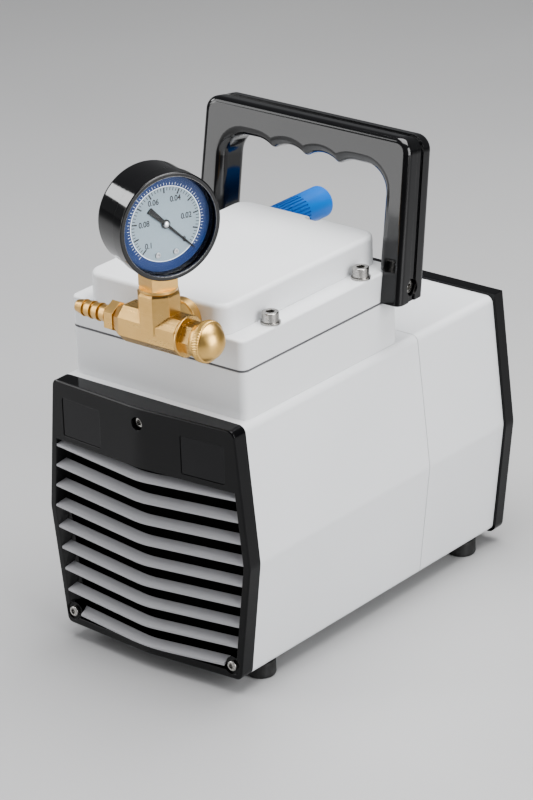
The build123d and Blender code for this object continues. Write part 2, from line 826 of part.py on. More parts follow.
with BuildPart() as cross_fitting:
    with BuildSketch(fitting_end(cross_left + 5.8)):
        Polygon(*octagon(arm_cut), align=None)
    extrude(amount=cross_right - cross_left - 5.8)
    bar_ends = cross_fitting.faces().sort_by(Axis.X)[-1].edges()
    chamfer(bar_ends, length=0.7)
    with BuildSketch(fitting_end(cross_left + 5.8)):
        Polygon(*octagon(arm_cut), align=None)
    with BuildSketch(fitting_end(cross_left)):
        RegularPolygon(7.0, 8, rotation=22.5)
    loft()
    with BuildSketch(stem_plane):
        RegularPolygon(9.9, 8, major_radius=False, rotation=22.5)
    extrude(amount=stem_top - fitting_height - 1.4)
    crown = cross_fitting.faces().sort_by(Axis.Z)[-1]
    chamfer(crown.edges(), length=1.3)
    with BuildSketch(port_face.offset(collar_thick)):
        Polygon(*octagon(arm_cut), align=None)
    extrude(amount=port_reach - collar_thick)
    with BuildSketch(fitting_end(cross_left - 1)):
        Circle(3.0)
    extrude(amount=cross_right - cross_left + 2, mode=Mode.SUBTRACT)
    with BuildSketch(stem_plane):
        Circle(3.0)
    extrude(amount=60, mode=Mode.SUBTRACT)
    with BuildSketch(port_face.offset(-1)):
        Circle(3.0)
    extrude(amount=port_reach + 1, mode=Mode.SUBTRACT)
finish(cross_fitting.part, "cross_fitting", brass)

with BuildPart() as port_nipple:
    with BuildSketch(port_face):
        Circle(10.2)
    extrude(amount=collar_thick)
    chamfer(port_nipple.edges().filter_by(GeomType.CIRCLE), length=0.8)
    with BuildSketch(port_face):
        Circle(4.9)
    extrude(amount=-cap_wall - 1)
    with BuildSketch(port_face.offset(-cap_wall - 2)):
        Circle(3.0)
    extrude(amount=cap_wall + collar_thick + 4, mode=Mode.SUBTRACT)
finish(port_nipple.part, "port_nipple", brass)

barb_pitch = 4.9
barb_bore = 2.4
bar_profile = Plane((0, fitting_y, fitting_height), x_dir=(1, 0, 0), z_dir=(0, -1, 0))
bar_axis = Axis((0, fitting_y, fitting_height), (1, 0, 0))
barb_root = 3.3
barb_groove = 1.1
ridge_radius_at = (4.6, 4.6, 4.5, 4.3)
with BuildPart() as hose_barb:
    with BuildSketch(bar_profile):
        outline = [(nut_left + 1, 0), (nut_left + 1, barb_root)]
        for ridge in range(4):
            shoulder = nut_left - 2.6 - barb_pitch * ridge
            outline += [(shoulder, barb_root), (shoulder, ridge_radius_at[ridge])]
            ridge_end = shoulder - barb_pitch + barb_groove
            outline += [(ridge_end, ridge_radius_at[ridge] - 0.6), (ridge_end, barb_root)]
        outline = outline[:-2] + [(barb_tip, 3.0), (barb_tip, 0)]
        Polygon(*outline, align=None)
    revolve(axis=bar_axis)
    with BuildSketch(fitting_end(nut_left)):
        RegularPolygon(7.0, 6, major_radius=False, rotation=30)
    extrude(amount=cross_left - nut_left)
    with BuildSketch(fitting_end(barb_tip - 1)):
        Circle(barb_bore)
    extrude(amount=60, mode=Mode.SUBTRACT)
finish(hose_barb.part, "hose_barb", brass)

disc_left = cross_right
disc_right = disc_left + 1.3
hex_right = disc_right + 5.7
neck_left = hex_right + 0.4
knob_left = neck_left + 3.2
knurl_length = 3.7
knob_right = knob_left + knurl_length
neck_radius = 9.2
knob_radius = 10.5
dome_radius = 10.1
dome_base = (dome_radius ** 2 - knurl_length ** 2) ** 0.5
stem_radius = 2.0
with BuildPart() as regulator_body:
    with BuildSketch(fitting_end(disc_left)):
        Circle(10.4)
    extrude(amount=disc_right - disc_left)
    chamfer(regulator_body.edges().filter_by(GeomType.CIRCLE), length=0.3)
    with BuildSketch(fitting_end(disc_right)):
        RegularPolygon(7.1, 6, major_radius=False)
    extrude(amount=hex_right - disc_right)
    with BuildSketch(fitting_end(disc_left - 1)):
        Circle(stem_radius + running_gap)
    extrude(amount=14, mode=Mode.SUBTRACT)
finish(regulator_body.part, "regulator_body", brass)

with BuildPart() as regulator_knob:
    with BuildSketch(fitting_end(knob_left)):
        Circle(knob_radius)
        with PolarLocations(knob_radius, 48):
            Rectangle(0.8, 0.62, rotation=45, mode=Mode.SUBTRACT)
    extrude(amount=knurl_length)
    with BuildSketch(bar_profile):
        with BuildLine():
            ThreePointArc((knob_right, dome_base), (knob_left + dome_radius * 0.8, dome_radius * 0.6),
                          (knob_left + dome_radius, 0))
            Polyline((knob_left + dome_radius, 0), (knob_right, 0), (knob_right, dome_base))
        make_face()
    revolve(axis=bar_axis)
    with BuildSketch(fitting_end(neck_left)):
        Circle(neck_radius)
    extrude(amount=knob_left - neck_left)
    chamfer(regulator_knob.edges().filter_by(GeomType.CIRCLE).sort_by(Axis.X)[0], length=0.8)
finish(regulator_knob.part, "regulator_knob", brass)

with BuildPart() as regulator_needle:
    with BuildSketch(fitting_end(disc_left - 1)):
        Circle(stem_radius)
    extrude(amount=neck_left - disc_left + 1)
    tip = regulator_needle.edges().filter_by(GeomType.CIRCLE).sort_by(Axis.X)[0]
    chamfer(tip, length=1.2)
finish(regulator_needle.part, "regulator_needle", steel)

# --- Exhaust -------------------------------------------------------------------------------------
muffler_front = head_back + 2.4
muffler_back = 166.0
exhaust_place = (exhaust_x, exhaust_height)
muffler_cap = 19.0
with BuildPart() as exhaust_muffler:
    add(shaft_disc(8.5, muffler_front, muffler_back, place=exhaust_place))
    fillet(exhaust_muffler.edges().filter_by(GeomType.CIRCLE), radius=1.2)
    with BuildSketch(across(muffler_back - muffler_cap)):
        with Locations(exhaust_place):
            with PolarLocations(8.5, 28):
                Rectangle(0.9, 0.8)
    extrude(amount=muffler_back - muffler_cap - muffler_front + 1, mode=Mode.SUBTRACT)
    add(shaft_disc(3.0, muffler_front - 1, muffler_back - 4, place=exhaust_place), mode=Mode.SUBTRACT)
finish(exhaust_muffler.part, "exhaust_muffler", (0.20, 0.50, 0.86))

with BuildPart() as muffler_nipple:
    add(shaft_disc(4.4, head_back - cap_wall, head_back, place=exhaust_place))
    with BuildSketch(across(head_back)):
        with Locations(exhaust_place):
            RegularPolygon(6.5, 6, major_radius=False)
    extrude(amount=-(muffler_front - head_back))
    add(shaft_disc(2.9, muffler_front, muffler_front + 6, place=exhaust_place))
    add(shaft_disc(1.8, head_back - 10, muffler_front + 7, place=exhaust_place), mode=Mode.SUBTRACT)
finish(muffler_nipple.part, "muffler_nipple", brass)


# --- Gauge ---------------------------------------------------------------------------------------
case_back = -10.5
case_front = gauge_face - 3.2
socket_side = 14.0
neck_plane = Plane((fitting_x, fitting_y, 0), x_dir=gauge_plane(0).x_dir, z_dir=(0, 0, 1))

with BuildPart() as gauge_case:
    with BuildSketch(gauge_plane(case_back)):
        Circle(gauge_radius - 0.75)
    extrude(amount=case_front - case_back)
    back_edge = gauge_case.faces().sort_by(Axis.X)[0].edges()
    fillet(back_edge, radius=3.0)
    with BuildSketch(gauge_plane(case_back + 1.5)):
        Circle(gauge_radius - 2.1)
    extrude(amount=case_front - case_back, mode=Mode.SUBTRACT)
    with BuildSketch(neck_plane.offset(gauge_height - gauge_radius - 2)):
        Rectangle(socket_side, 10.4)
    extrude(amount=8, mode=Mode.SUBTRACT)
finish(gauge_case.part, "gauge_case", black)

with BuildPart() as gauge_socket:
    with BuildSketch(neck_plane.offset(stem_top - 1.4)):
        Circle(9.4)
    extrude(amount=1.4)
    with BuildSketch(neck_plane.offset(stem_top)):
        Rectangle(socket_side, socket_side)
    extrude(amount=gauge_height - gauge_radius - stem_top + 1.6)
    with BuildSketch(neck_plane.offset(stem_top)):
        Rectangle(socket_side, 10.4)
    extrude(amount=gauge_height - gauge_radius - stem_top + 8)
    add(gauge_case.part, mode=Mode.SUBTRACT)
    with BuildSketch(neck_plane.offset(stem_top - 3)):
        Circle(1.5)
    extrude(amount=14, mode=Mode.SUBTRACT)
finish(gauge_socket.part, "gauge_socket", brass)

with BuildPart() as gauge_bezel:
    with BuildSketch(gauge_plane(gauge_face - 8.0)):
        Circle(gauge_radius)
        Circle(gauge_radius - 0.75, mode=Mode.SUBTRACT)
    extrude(amount=6.3)
    with BuildSketch(gauge_plane(gauge_face - 1.7)):
        Circle(gauge_radius)
        Circle(dial_radius + 0.1, mode=Mode.SUBTRACT)
    extrude(amount=1.7)
    rims = gauge_bezel.faces().sort_by(lambda face: face.center().dot(gauge_plane(0).z_dir))[-1]
    fillet(rims.edges(), radius=0.6)
finish(gauge_bezel.part, "gauge_bezel", black)

with BuildPart() as gauge_lens:
    with BuildSketch(gauge_plane(case_front)):
        Circle(gauge_radius - 0.75)
    extrude(amount=gauge_face - 1.7 - case_front)
finish(gauge_lens.part, "gauge_lens", (0.8, 0.85, 0.9, 0.3))

arbor_radius = 0.8
dial_screw_place = (4.8, -14.8)
with BuildPart() as gauge_dial:
    with BuildSketch(gauge_plane(dial_offset - 0.6)):
        Circle(dial_radius)
        Circle(arbor_radius + 0.6, mode=Mode.SUBTRACT)
        with Locations(dial_screw_place, (-dial_screw_place[0], dial_screw_place[1])):
            Circle(0.8, mode=Mode.SUBTRACT)
    extrude(amount=0.6)
finish(gauge_dial.part, "gauge_dial", (0.78, 0.83, 0.87))

with BuildPart() as dial_screws:
    places = [dial_screw_place, (-dial_screw_place[0], dial_screw_place[1])]
    add(socket_screw(gauge_plane(dial_offset), places, 1.4, 0.6, 0.75, 3.0, 0.6))
finish(dial_screws.part, "dial_screws", steel)

movement_front = dial_offset - 2.6
with BuildPart() as gauge_movement:
    with BuildSketch(gauge_plane(movement_front - 6.0)):
        with Locations((0, -3)):
            RectangleRounded(14, 20, 2)
        Circle(arbor_radius + 0.05, mode=Mode.SUBTRACT)
    extrude(amount=6.0)
    with BuildSketch(gauge_plane(movement_front)):
        with Locations(dial_screw_place, (-dial_screw_place[0], dial_screw_place[1])):
            Circle(1.6)
            Circle(0.76, mode=Mode.SUBTRACT)
    extrude(amount=2.0)
    with BuildSketch(gauge_plane(movement_front - 6.0)):
        with Locations((0, -14)):
            Rectangle(13, 8)
        with Locations(dial_screw_place, (-dial_screw_place[0], dial_screw_place[1])):
            Circle(0.76, mode=Mode.SUBTRACT)
    extrude(amount=6.0)
finish(gauge_movement.part, "gauge_movement", brass)

tube_radius = 19.0
with BuildPart() as bourdon_tube:
    with BuildSketch(gauge_plane(-1.5)):
        Circle(tube_radius + 1.5)
        Circle(tube_radius - 1.5, mode=Mode.SUBTRACT)
        with Locations((9.5, -18)):
            Rectangle(33, 24, mode=Mode.SUBTRACT)
    extrude(amount=7.0)
finish(bourdon_tube.part, "bourdon_tube", copper)

pointer_length = 21.6
pointer_tail = 12.0
with BuildPart() as gauge_pointer:
    with BuildSketch(gauge_plane(dial_offset + 0.35)):
        Circle(2.2)
        with Locations(Location((0, 0), zero_angle)):
            Polygon((0, 0.75), (pointer_length - 3, 0.4), (pointer_length, 0),
                    (pointer_length - 3, -0.4), (0, -0.75), align=None)
            Polygon((0, -0.9), (-pointer_tail, -1.6), (-pointer_tail, 1.6), (0, 0.9), align=None)
    extrude(amount=0.5)
    with BuildSketch(gauge_plane(dial_offset + 0.35)):
        Circle(1.5)
    extrude(amount=0.8)
    with BuildSketch(gauge_plane(movement_front - 5.0)):
        Circle(arbor_radius)
    extrude(amount=dial_offset + 0.5 - movement_front + 5.0)
finish(gauge_pointer.part, "gauge_pointer", (0.02, 0.02, 0.02))

# --- Handle --------------------------------------------------------------------------------------
handle_slope = (handle_foot_half - handle_top_half) / handle_rise
foot_reach = handle_foot_half + handle_slope * 8
handle_outline = [(-foot_reach, -8), (-handle_top_half, handle_rise),
                  (handle_top_half, handle_rise), (foot_reach, -8)]
finger_radius = ((finger_pitch / 2) ** 2 + finger_rise ** 2) / (2 * finger_rise)
leg_screw_radius = 2.1


def on_opening_rim(edge):
    """Whether an edge of the handle lies between its opening and its front or back face."""
    place = leaning_plane(0).to_local_coords(edge.center())
    inside = abs(place.X) < opening_half + 1 and place.Y < grip_edge + 1
    return inside and min(abs(place.Z), abs(place.Z + handle_thick)) < 0.01


with BuildPart() as handle:
    with BuildSketch(leaning_plane(0)) as shape:
        Polygon(*handle_outline, align=None)
        fillet(shape.vertices().group_by(Axis.Y)[-1], radius=8)
    extrude(amount=-handle_thick)
    flanks = handle.faces().filter_by(lambda face: abs(face.normal_at().dot(leaning_plane(0).z_dir)) > 0.999)
    fillet(flanks.edges(), radius=3.5)
    with BuildSketch(leaning_plane(7.8)) as groove:
        Polygon(*handle_outline, align=None)
        fillet(groove.vertices().group_by(Axis.Y)[-1], radius=8)
        offset(amount=-0.8, mode=Mode.SUBTRACT)
    extrude(amount=-4.9, mode=Mode.SUBTRACT)
    with BuildSketch(leaning_plane(-1)) as opening:
        with Locations((0, grip_edge / 2 - 10)):
            Rectangle(2 * opening_half, grip_edge + 20)
        fillet(opening.vertices().group_by(Axis.Y)[-1], radius=13)
        with Locations((0, grip_edge - finger_rise / 2)):
            Rectangle(3 * finger_pitch, finger_rise, mode=Mode.SUBTRACT)
        for finger in (-1.5, -0.5, 0.5, 1.5):
            with Locations((finger * finger_pitch, grip_edge - finger_radius)):
                Circle(finger_radius)
        between = opening.vertices().filter_by(lambda corner: abs(corner.X) < 1.2 * finger_pitch)
        fillet(between, radius=2.0)
    extrude(amount=-handle_thick - 2, mode=Mode.SUBTRACT)
    with BuildSketch(level(handle_base)):
        with Locations((0, handle_depth + 10)):
            Rectangle(200, 60)
    extrude(amount=-30, mode=Mode.SUBTRACT)
    fillet(handle.edges().filter_by(on_opening_rim), radius=opening_rounding)
    with BuildSketch(level(handle_base - 1)):
        with Locations((0, handle_depth + 10)):
            Rectangle(2 * saddle_half, 60)
    extrude(amount=saddle_height - handle_base + 1, mode=Mode.SUBTRACT)
    for side in (-1, 1):
        with BuildSketch(sideways(side * 80)):
            with Locations((side_screw_depth, side_screw_height)):
                Circle(leg_screw_radius)
        extrude(amount=-side * 30, mode=Mode.SUBTRACT)
        with BuildSketch(sideways(side * 80)):
            with Locations((side_screw_depth, side_screw_height)):
                Circle(4.3)
        extrude(amount=-side * 18, mode=Mode.SUBTRACT)
finish(handle.part, "handle", black)

with BuildPart() as handle_screws:
    right_face = Plane((62.0, cover_front, 0), x_dir=(0, 1, 0), z_dir=(1, 0, 0))
    left_face = Plane((-62.0, cover_front, 0), x_dir=(0, -1, 0), z_dir=(-1, 0, 0))
    add(socket_screw(right_face, [(side_screw_depth, side_screw_height)], 3.6, 2.6, 1.95, 14, 1.7))
    add(socket_screw(left_face, [(-side_screw_depth, side_screw_height)], 3.6, 2.6, 1.95, 14, 1.7))
finish(handle_screws.part, "handle_screws", steel)
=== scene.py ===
"""Looks of the portable vacuum pump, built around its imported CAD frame. All lengths are in metres."""

import json
import math

import bmesh
import bpy
from mathutils import Matrix, Vector


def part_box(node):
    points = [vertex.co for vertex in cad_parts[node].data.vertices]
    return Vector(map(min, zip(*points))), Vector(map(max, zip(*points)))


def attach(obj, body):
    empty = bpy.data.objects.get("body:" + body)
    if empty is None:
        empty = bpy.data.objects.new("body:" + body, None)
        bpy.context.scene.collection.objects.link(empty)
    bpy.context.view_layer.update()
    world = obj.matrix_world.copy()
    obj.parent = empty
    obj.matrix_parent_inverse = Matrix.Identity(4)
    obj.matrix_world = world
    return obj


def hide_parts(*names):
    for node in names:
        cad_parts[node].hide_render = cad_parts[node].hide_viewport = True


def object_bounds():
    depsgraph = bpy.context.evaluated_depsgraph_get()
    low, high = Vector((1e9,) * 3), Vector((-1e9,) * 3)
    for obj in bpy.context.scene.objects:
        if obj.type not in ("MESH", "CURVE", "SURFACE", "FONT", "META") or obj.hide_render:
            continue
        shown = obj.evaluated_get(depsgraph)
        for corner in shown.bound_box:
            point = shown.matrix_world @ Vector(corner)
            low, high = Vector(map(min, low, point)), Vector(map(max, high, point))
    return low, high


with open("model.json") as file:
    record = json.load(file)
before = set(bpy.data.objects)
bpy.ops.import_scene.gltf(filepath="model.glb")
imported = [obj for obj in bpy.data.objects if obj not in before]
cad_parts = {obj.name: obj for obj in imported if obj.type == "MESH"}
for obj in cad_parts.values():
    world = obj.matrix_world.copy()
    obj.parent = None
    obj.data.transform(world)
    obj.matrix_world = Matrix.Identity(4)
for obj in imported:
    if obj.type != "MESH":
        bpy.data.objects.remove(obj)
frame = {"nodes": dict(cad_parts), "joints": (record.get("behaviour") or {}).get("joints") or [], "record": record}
cad_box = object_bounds()
nodes = frame["nodes"]
joints = {joint["name"]: joint for joint in frame["joints"]}

MM = 0.001

# Spans of a noise factor: nearly all of its values, those leaning high, and its high spots only.
NOISE_SPAN = (0.3, 0.7)
UPPER_SPAN = (0.35, 0.75)
HIGH_SPOTS = (0.45, 0.8)


# --- Node helpers --------------------------------------------------------------------------------
class Surface:
    """A Principled material with the few node chains that every finish here is made of."""

    def __init__(self, name):
        self.material = bpy.data.materials.new(name)
        self.material.use_nodes = True
        self.tree = self.material.node_tree
        self.shader = self.tree.nodes["Principled BSDF"]
        self.place = self.tree.nodes.new("ShaderNodeTexCoord").outputs["Object"]

    def set(self, **values):
        """Plain values on the shader's own sockets, named with underscores for spaces."""
        for name, value in values.items():
            self.shader.inputs[name.replace("_", " ")].default_value = value
        return self

    def link(self, source, target):
        """Joins an output to an input."""
        self.tree.links.new(source, target)

    def stretched(self, scale, turn=(0, 0, 0)):
        """Object coordinates scaled differently along each axis."""
        mapping = self.tree.nodes.new("ShaderNodeMapping")
        mapping.inputs["Scale"].default_value = scale
        mapping.inputs["Rotation"].default_value = turn
        self.link(self.place, mapping.inputs["Vector"])
        return mapping.outputs["Vector"]

    def noise(self, size, detail=3.0, roughness=0.5, vector=None):
        """Noise whose features are about size metres across."""
        node = self.tree.nodes.new("ShaderNodeTexNoise")
        node.inputs["Scale"].default_value = 1.0 / size
        node.inputs["Detail"].default_value = detail
        node.inputs["Roughness"].default_value = roughness
        self.link(vector or self.place, node.inputs["Vector"])
        return node.outputs["Fac"]

    def cells(self, size):
        """Distance to the nearest point of a random scatter."""
        node = self.tree.nodes.new("ShaderNodeTexVoronoi")
        node.inputs["Scale"].default_value = 1.0 / size
        self.link(self.place, node.inputs["Vector"])
        return node.outputs["Distance"]

    def spread(self, source, low, high, out_low=0.0, out_high=1.0):
        """Maps a factor from one span to another, held at both ends."""
        node = self.tree.nodes.new("ShaderNodeMapRange")
        for name, value in (("From Min", low), ("From Max", high), ("To Min", out_low), ("To Max", out_high)):
            node.inputs[name].default_value = value
        self.link(source, node.inputs["Value"])
        return node.outputs["Result"]

    def combine(self, first, second, operation="MULTIPLY"):
        """Arithmetic on two factors, each a number or another node's output."""
        node = self.tree.nodes.new("ShaderNodeMath")
        node.operation = operation
        for socket, value in zip(node.inputs, (first, second)):
            if isinstance(value, (int, float)):
                socket.default_value = value
            else:
                self.link(value, socket)
        return node.outputs["Value"]

    def blend(self, factor, first, second):
        """Colour between two colours; each is an RGB triple or another node's output."""
        node = self.tree.nodes.new("ShaderNodeMix")
        node.data_type = "RGBA"
        self.link(factor, node.inputs["Factor"])
        for name, colour in (("A", first), ("B", second)):
            socket = [entry for entry in node.inputs if entry.name == name and entry.type == "RGBA"][0]
            if isinstance(colour, tuple):
                socket.default_value = (*colour, 1.0)
            else:
                self.link(colour, socket)
        return [entry for entry in node.outputs if entry.type == "RGBA"][0]

    def colour(self, source):
        """Feeds the shader's colour."""
        self.link(source, self.shader.inputs["Base Color"])
        return self

    def roughness(self, source):
        """Feeds the shader's roughness."""
        self.link(source, self.shader.inputs["Roughness"])
        return self

    def relief(self, *layers, edge=None):
        """Bump layers of (height, depth in metres), over edges that read as rounded by edge metres."""
        normal = None
        if edge:
            bevel = self.tree.nodes.new("ShaderNodeBevel")
            bevel.samples = 4
            bevel.inputs["Radius"].default_value = edge
            normal = bevel.outputs["Normal"]
        for height, depth in layers:
            bump = self.tree.nodes.new("ShaderNodeBump")
            bump.inputs["Strength"].default_value = 1.0
            bump.inputs["Distance"].default_value = depth
            self.link(height, bump.inputs["Height"])
            if normal:
                self.link(normal, bump.inputs["Normal"])
            normal = bump.outputs["Normal"]
        self.link(normal, self.shader.inputs["Normal"])
        return self


# --- Finishes ------------------------------------------------------------------------------------
def enamel(name, base, shade, rough, peel, edge):
    """Sprayed enamel: orange peel, faint drift of tone, handling smudges and a few fine specks."""
    surface = Surface(name)
    tone = surface.spread(surface.noise(0.09, detail=2.0), *NOISE_SPAN)
    specks = surface.spread(surface.cells(0.006), 0.0, 0.035, out_low=1.0, out_high=0.0)
    dirt = tuple(channel * 0.82 for channel in base)
    surface.colour(surface.blend(surface.combine(specks, 0.5), surface.blend(tone, base, shade), dirt))
    smudge = surface.noise(0.035, detail=5.0, roughness=0.6)
    surface.roughness(surface.spread(smudge, *UPPER_SPAN, rough - 0.05, rough + 0.09))
    surface.relief((surface.noise(0.0011, detail=2.0), peel), edge=edge)
    return surface.set(Coat_Weight=0.12, Coat_Roughness=0.18, Specular_IOR_Level=0.45).material


def moulding(name, base, rough, grain_size, grain, edge, coat=0.0, shine=0.5):
    """Moulded plastic: fine grain, faint flow marks, dust and hairline scratches."""
    surface = Surface(name)
    flow = surface.spread(surface.noise(0.03, detail=4.0), *NOISE_SPAN)
    lighter = tuple(min(1.0, channel * 1.25 + 0.001) for channel in base)
    dust = surface.spread(surface.cells(0.0045), 0.0, 0.04, out_low=0.2, out_high=0.0)
    grey = tuple(0.6 * channel + 0.08 for channel in base)
    surface.colour(surface.blend(dust, surface.blend(flow, base, lighter), grey))
    slanted = surface.stretched((1.0, 0.06, 0.35), turn=(0.3, 0.2, 0.9))
    scratch = surface.spread(surface.noise(0.0004, detail=2.0, vector=slanted), 0.62, 0.72)
    wear = surface.combine(surface.combine(scratch, 0.12), surface.noise(0.04, detail=2.0))
    body = surface.spread(surface.noise(0.02, detail=4.0), 0.3, 0.75, rough * 0.75, rough * 1.35)
    surface.roughness(surface.combine(body, wear, "ADD"))
    surface.relief((surface.noise(grain_size, detail=2.0), grain), edge=edge)
    return surface.set(Coat_Weight=coat, Coat_Roughness=0.06, Specular_IOR_Level=shine).material


def metal(name, bright, dull, rough, marks, mark_depth, edge, tarnish_size=0.006):
    """Machined metal: tool marks of a given stretch, tarnish in patches and slight pitting."""
    surface = Surface(name)
    patches = surface.spread(surface.noise(tarnish_size, detail=5.0, roughness=0.6), *UPPER_SPAN)
    streaks = surface.noise(0.0012, roughness=0.6, vector=surface.stretched(marks))
    mixed = surface.combine(patches, surface.spread(streaks, *NOISE_SPAN, 0.6, 1.0))
    surface.colour(surface.blend(mixed, bright, dull))
    base = surface.spread(patches, 0.0, 1.0, rough, rough + 0.16)
    surface.roughness(surface.combine(base, surface.spread(streaks, *NOISE_SPAN, -0.04, 0.06), "ADD"))
    pits = surface.noise(0.0006, detail=2.0)
    surface.relief((streaks, mark_depth), (pits, mark_depth * 0.5), edge=edge)
    return surface.set(Metallic=1.0).material


def elastomer(name, base, rough, dust=0.6, pebble=0.00006, shine=0.5):
    """Rubber or foam: matt, finely pebbled, with dusty high spots."""
    surface = Surface(name)
    dusty = surface.spread(surface.noise(0.004, detail=4.0), *HIGH_SPOTS, out_high=dust)
    surface.colour(surface.blend(dusty, base, tuple(channel + 0.05 for channel in base)))
    surface.roughness(surface.spread(surface.noise(0.01), *NOISE_SPAN, rough - 0.08, rough + 0.08))
    surface.relief((surface.noise(0.0005, detail=2.0), pebble), edge=0.0004)
    return surface.set(Specular_IOR_Level=shine).material


def print_ink(name, base, rough=0.5):
    """Printed ink: slight mottle, as laid down by a screen."""
    surface = Surface(name)
    mottle = surface.spread(surface.noise(0.0009), 0.3, 0.8)
    surface.colour(surface.blend(mottle, base, tuple(channel * 0.95 for channel in base)))
    surface.roughness(surface.spread(surface.noise(0.002), *NOISE_SPAN, rough - 0.06, rough + 0.06))
    surface.relief((surface.noise(0.0003, detail=2.0), 0.000004))
    return surface.material


def clear_lens(name):
    """Clear lens with faint smears that lets lamps through, and hardly mirrors the pale studio."""
    surface = Surface(name)
    smears = surface.noise(0.008, detail=4.0)
    surface.roughness(surface.spread(smears, *HIGH_SPOTS, out_high=0.01))
    surface.relief((surface.noise(0.01, detail=1.0), 0.000002))
    surface.set(Transmission_Weight=1.0, IOR=1.1, Specular_IOR_Level=0.3,
                Base_Color=(0.97, 0.985, 1.0, 1.0))
    tree = surface.tree
    path = tree.nodes.new("ShaderNodeLightPath")
    open_to_lamps = tree.nodes.new("ShaderNodeBsdfTransparent")
    mix = tree.nodes.new("ShaderNodeMixShader")
    surface.link(path.outputs["Is Shadow Ray"], mix.inputs["Fac"])
    surface.link(surface.shader.outputs["BSDF"], mix.inputs[1])
    surface.link(open_to_lamps.outputs["BSDF"], mix.inputs[2])
    output = [node for node in tree.nodes if node.type == "OUTPUT_MATERIAL"][0]
    surface.link(mix.outputs["Shader"], output.inputs["Surface"])
    return surface.material


# How far tool marks are stretched along each axis.
ALONG_X = (0.08, 1.0, 1.0)
ALONG_Y = (1.0, 0.08, 1.0)
EVEN = (1.0, 1.0, 1.0)
STACKED = (1, 6, 1)
WOUND = (1, 12, 1)

looks = {
    "cover_white": enamel("cover_enamel", (0.72, 0.73, 0.745), (0.69, 0.70, 0.715),
                          rough=0.34, peel=0.000022, edge=0.0005),
    "head_white": enamel("head_enamel", (0.74, 0.75, 0.76), (0.70, 0.71, 0.725),
                         rough=0.38, peel=0.00004, edge=0.0006),
    "panel_black": moulding("panel_moulding", (0.0025, 0.0025, 0.003), rough=0.14,
                            grain_size=0.0016, grain=0.00001, edge=0.0006, shine=0.32),
    "blade_grey": enamel("louvre_paint", (0.38, 0.38, 0.395), (0.345, 0.345, 0.36),
                         rough=0.36, peel=0.00002, edge=0.0002),
    "label_black": moulding("label_film", (0.004, 0.004, 0.005), rough=0.16,
                            grain_size=0.0010, grain=0.000006, edge=0.0002, shine=0.35),
    "handle_black": moulding("handle_moulding", (0.003, 0.003, 0.0035), rough=0.11,
                             grain_size=0.0022, grain=0.000008, edge=0.0004, coat=0.3),
    "rubber": elastomer("foot_rubber", (0.016, 0.016, 0.016), rough=0.62),
    "filter_foam": elastomer("dust_foam", (0.002, 0.002, 0.002), rough=0.95,
                             dust=0.05, pebble=0.00002, shine=0.1),
    "screw_steel": metal("bright_steel", (0.46, 0.45, 0.43), (0.30, 0.29, 0.28),
                         rough=0.18, marks=EVEN, mark_depth=0.000006, edge=0.0002),
    "plain_steel": metal("dull_steel", (0.45, 0.45, 0.46), (0.30, 0.30, 0.30),
                         rough=0.34, marks=ALONG_Y, mark_depth=0.00001, edge=0.0003),
    "laminations": metal("core_steel", (0.28, 0.28, 0.30), (0.16, 0.14, 0.13),
                         rough=0.45, marks=STACKED, mark_depth=0.00003, edge=0.0003),
    "cast_aluminium": metal("cast_alloy", (0.62, 0.62, 0.63), (0.46, 0.46, 0.47),
                            rough=0.46, marks=EVEN, mark_depth=0.00006, edge=0.0006),
    "copper_winding": metal("winding_copper", (0.66, 0.30, 0.14), (0.42, 0.16, 0.07),
                            rough=0.3, marks=WOUND, mark_depth=0.0001, edge=0.0004),
    "fan_plastic": moulding("fan_moulding", (0.03, 0.03, 0.032), rough=0.45,
                            grain_size=0.0006, grain=0.00002, edge=0.0003),
    "brass": metal("machined_brass", (0.72, 0.48, 0.20), (0.58, 0.36, 0.13),
                   rough=0.25, marks=ALONG_X, mark_depth=0.000006, edge=0.0003, tarnish_size=0.03),
    "muffler_blue": moulding("muffler_moulding", (0.014, 0.13, 0.46), rough=0.34,
                             grain_size=0.0010, grain=0.00002, edge=0.0005, shine=0.35),
    "gauge_black": moulding("gauge_enamel", (0.003, 0.003, 0.0035), rough=0.08,
                            grain_size=0.0020, grain=0.000008, edge=0.0003, coat=0.4),
    "gauge_glass": clear_lens("gauge_lens_clear"),
    "dial_face": print_ink("dial_ground", (0.22, 0.27, 0.30), rough=0.42),
    "pointer_black": moulding("pointer_enamel", (0.006, 0.006, 0.006), rough=0.35,
                              grain_size=0.0006, grain=0.000004, edge=0.0001),
    "rocker_red": moulding("rocker_moulding", (0.40, 0.02, 0.015), rough=0.22,
                           grain_size=0.0012, grain=0.00001, edge=0.0003),
    "capacitor_can": metal("can_aluminium", (0.70, 0.70, 0.71), (0.55, 0.55, 0.56),
                           rough=0.3, marks=ALONG_X, mark_depth=0.00001, edge=0.0004),
}

# The diaphragm's edge is seen as a dark grey line between the castings, paler than the feet.
special_looks = {"diaphragm": elastomer("diaphragm_rubber", (0.10, 0.10, 0.105), rough=0.6, dust=0.2)}
slot_of = {row["node"]: row["material_slot"] for row in frame["record"]["subparts"]}
for node_name, node in nodes.items():
    node.data.materials.clear()
    node.data.materials.append(special_looks.get(node_name, looks[slot_of[node_name]]))


# --- Mesh helpers --------------------------------------------------------------------------------
def piece(name, mesh, finish, body, place, smooth=30.0):
    """A piece from a bmesh, put in place, riding on a body, and smooth across angles below smooth degrees."""
    data = bpy.data.meshes.new(name)
    mesh.to_mesh(data)
    mesh.free()
    data.transform(place)
    data.materials.append(finish)
    made = bpy.data.objects.new(name, data)
    bpy.context.scene.collection.objects.link(made)
    data.polygons.foreach_set("use_smooth", [True] * len(data.polygons))
    data.set_sharp_from_angle(angle=math.radians(smooth))
    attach(made, body)
    return made


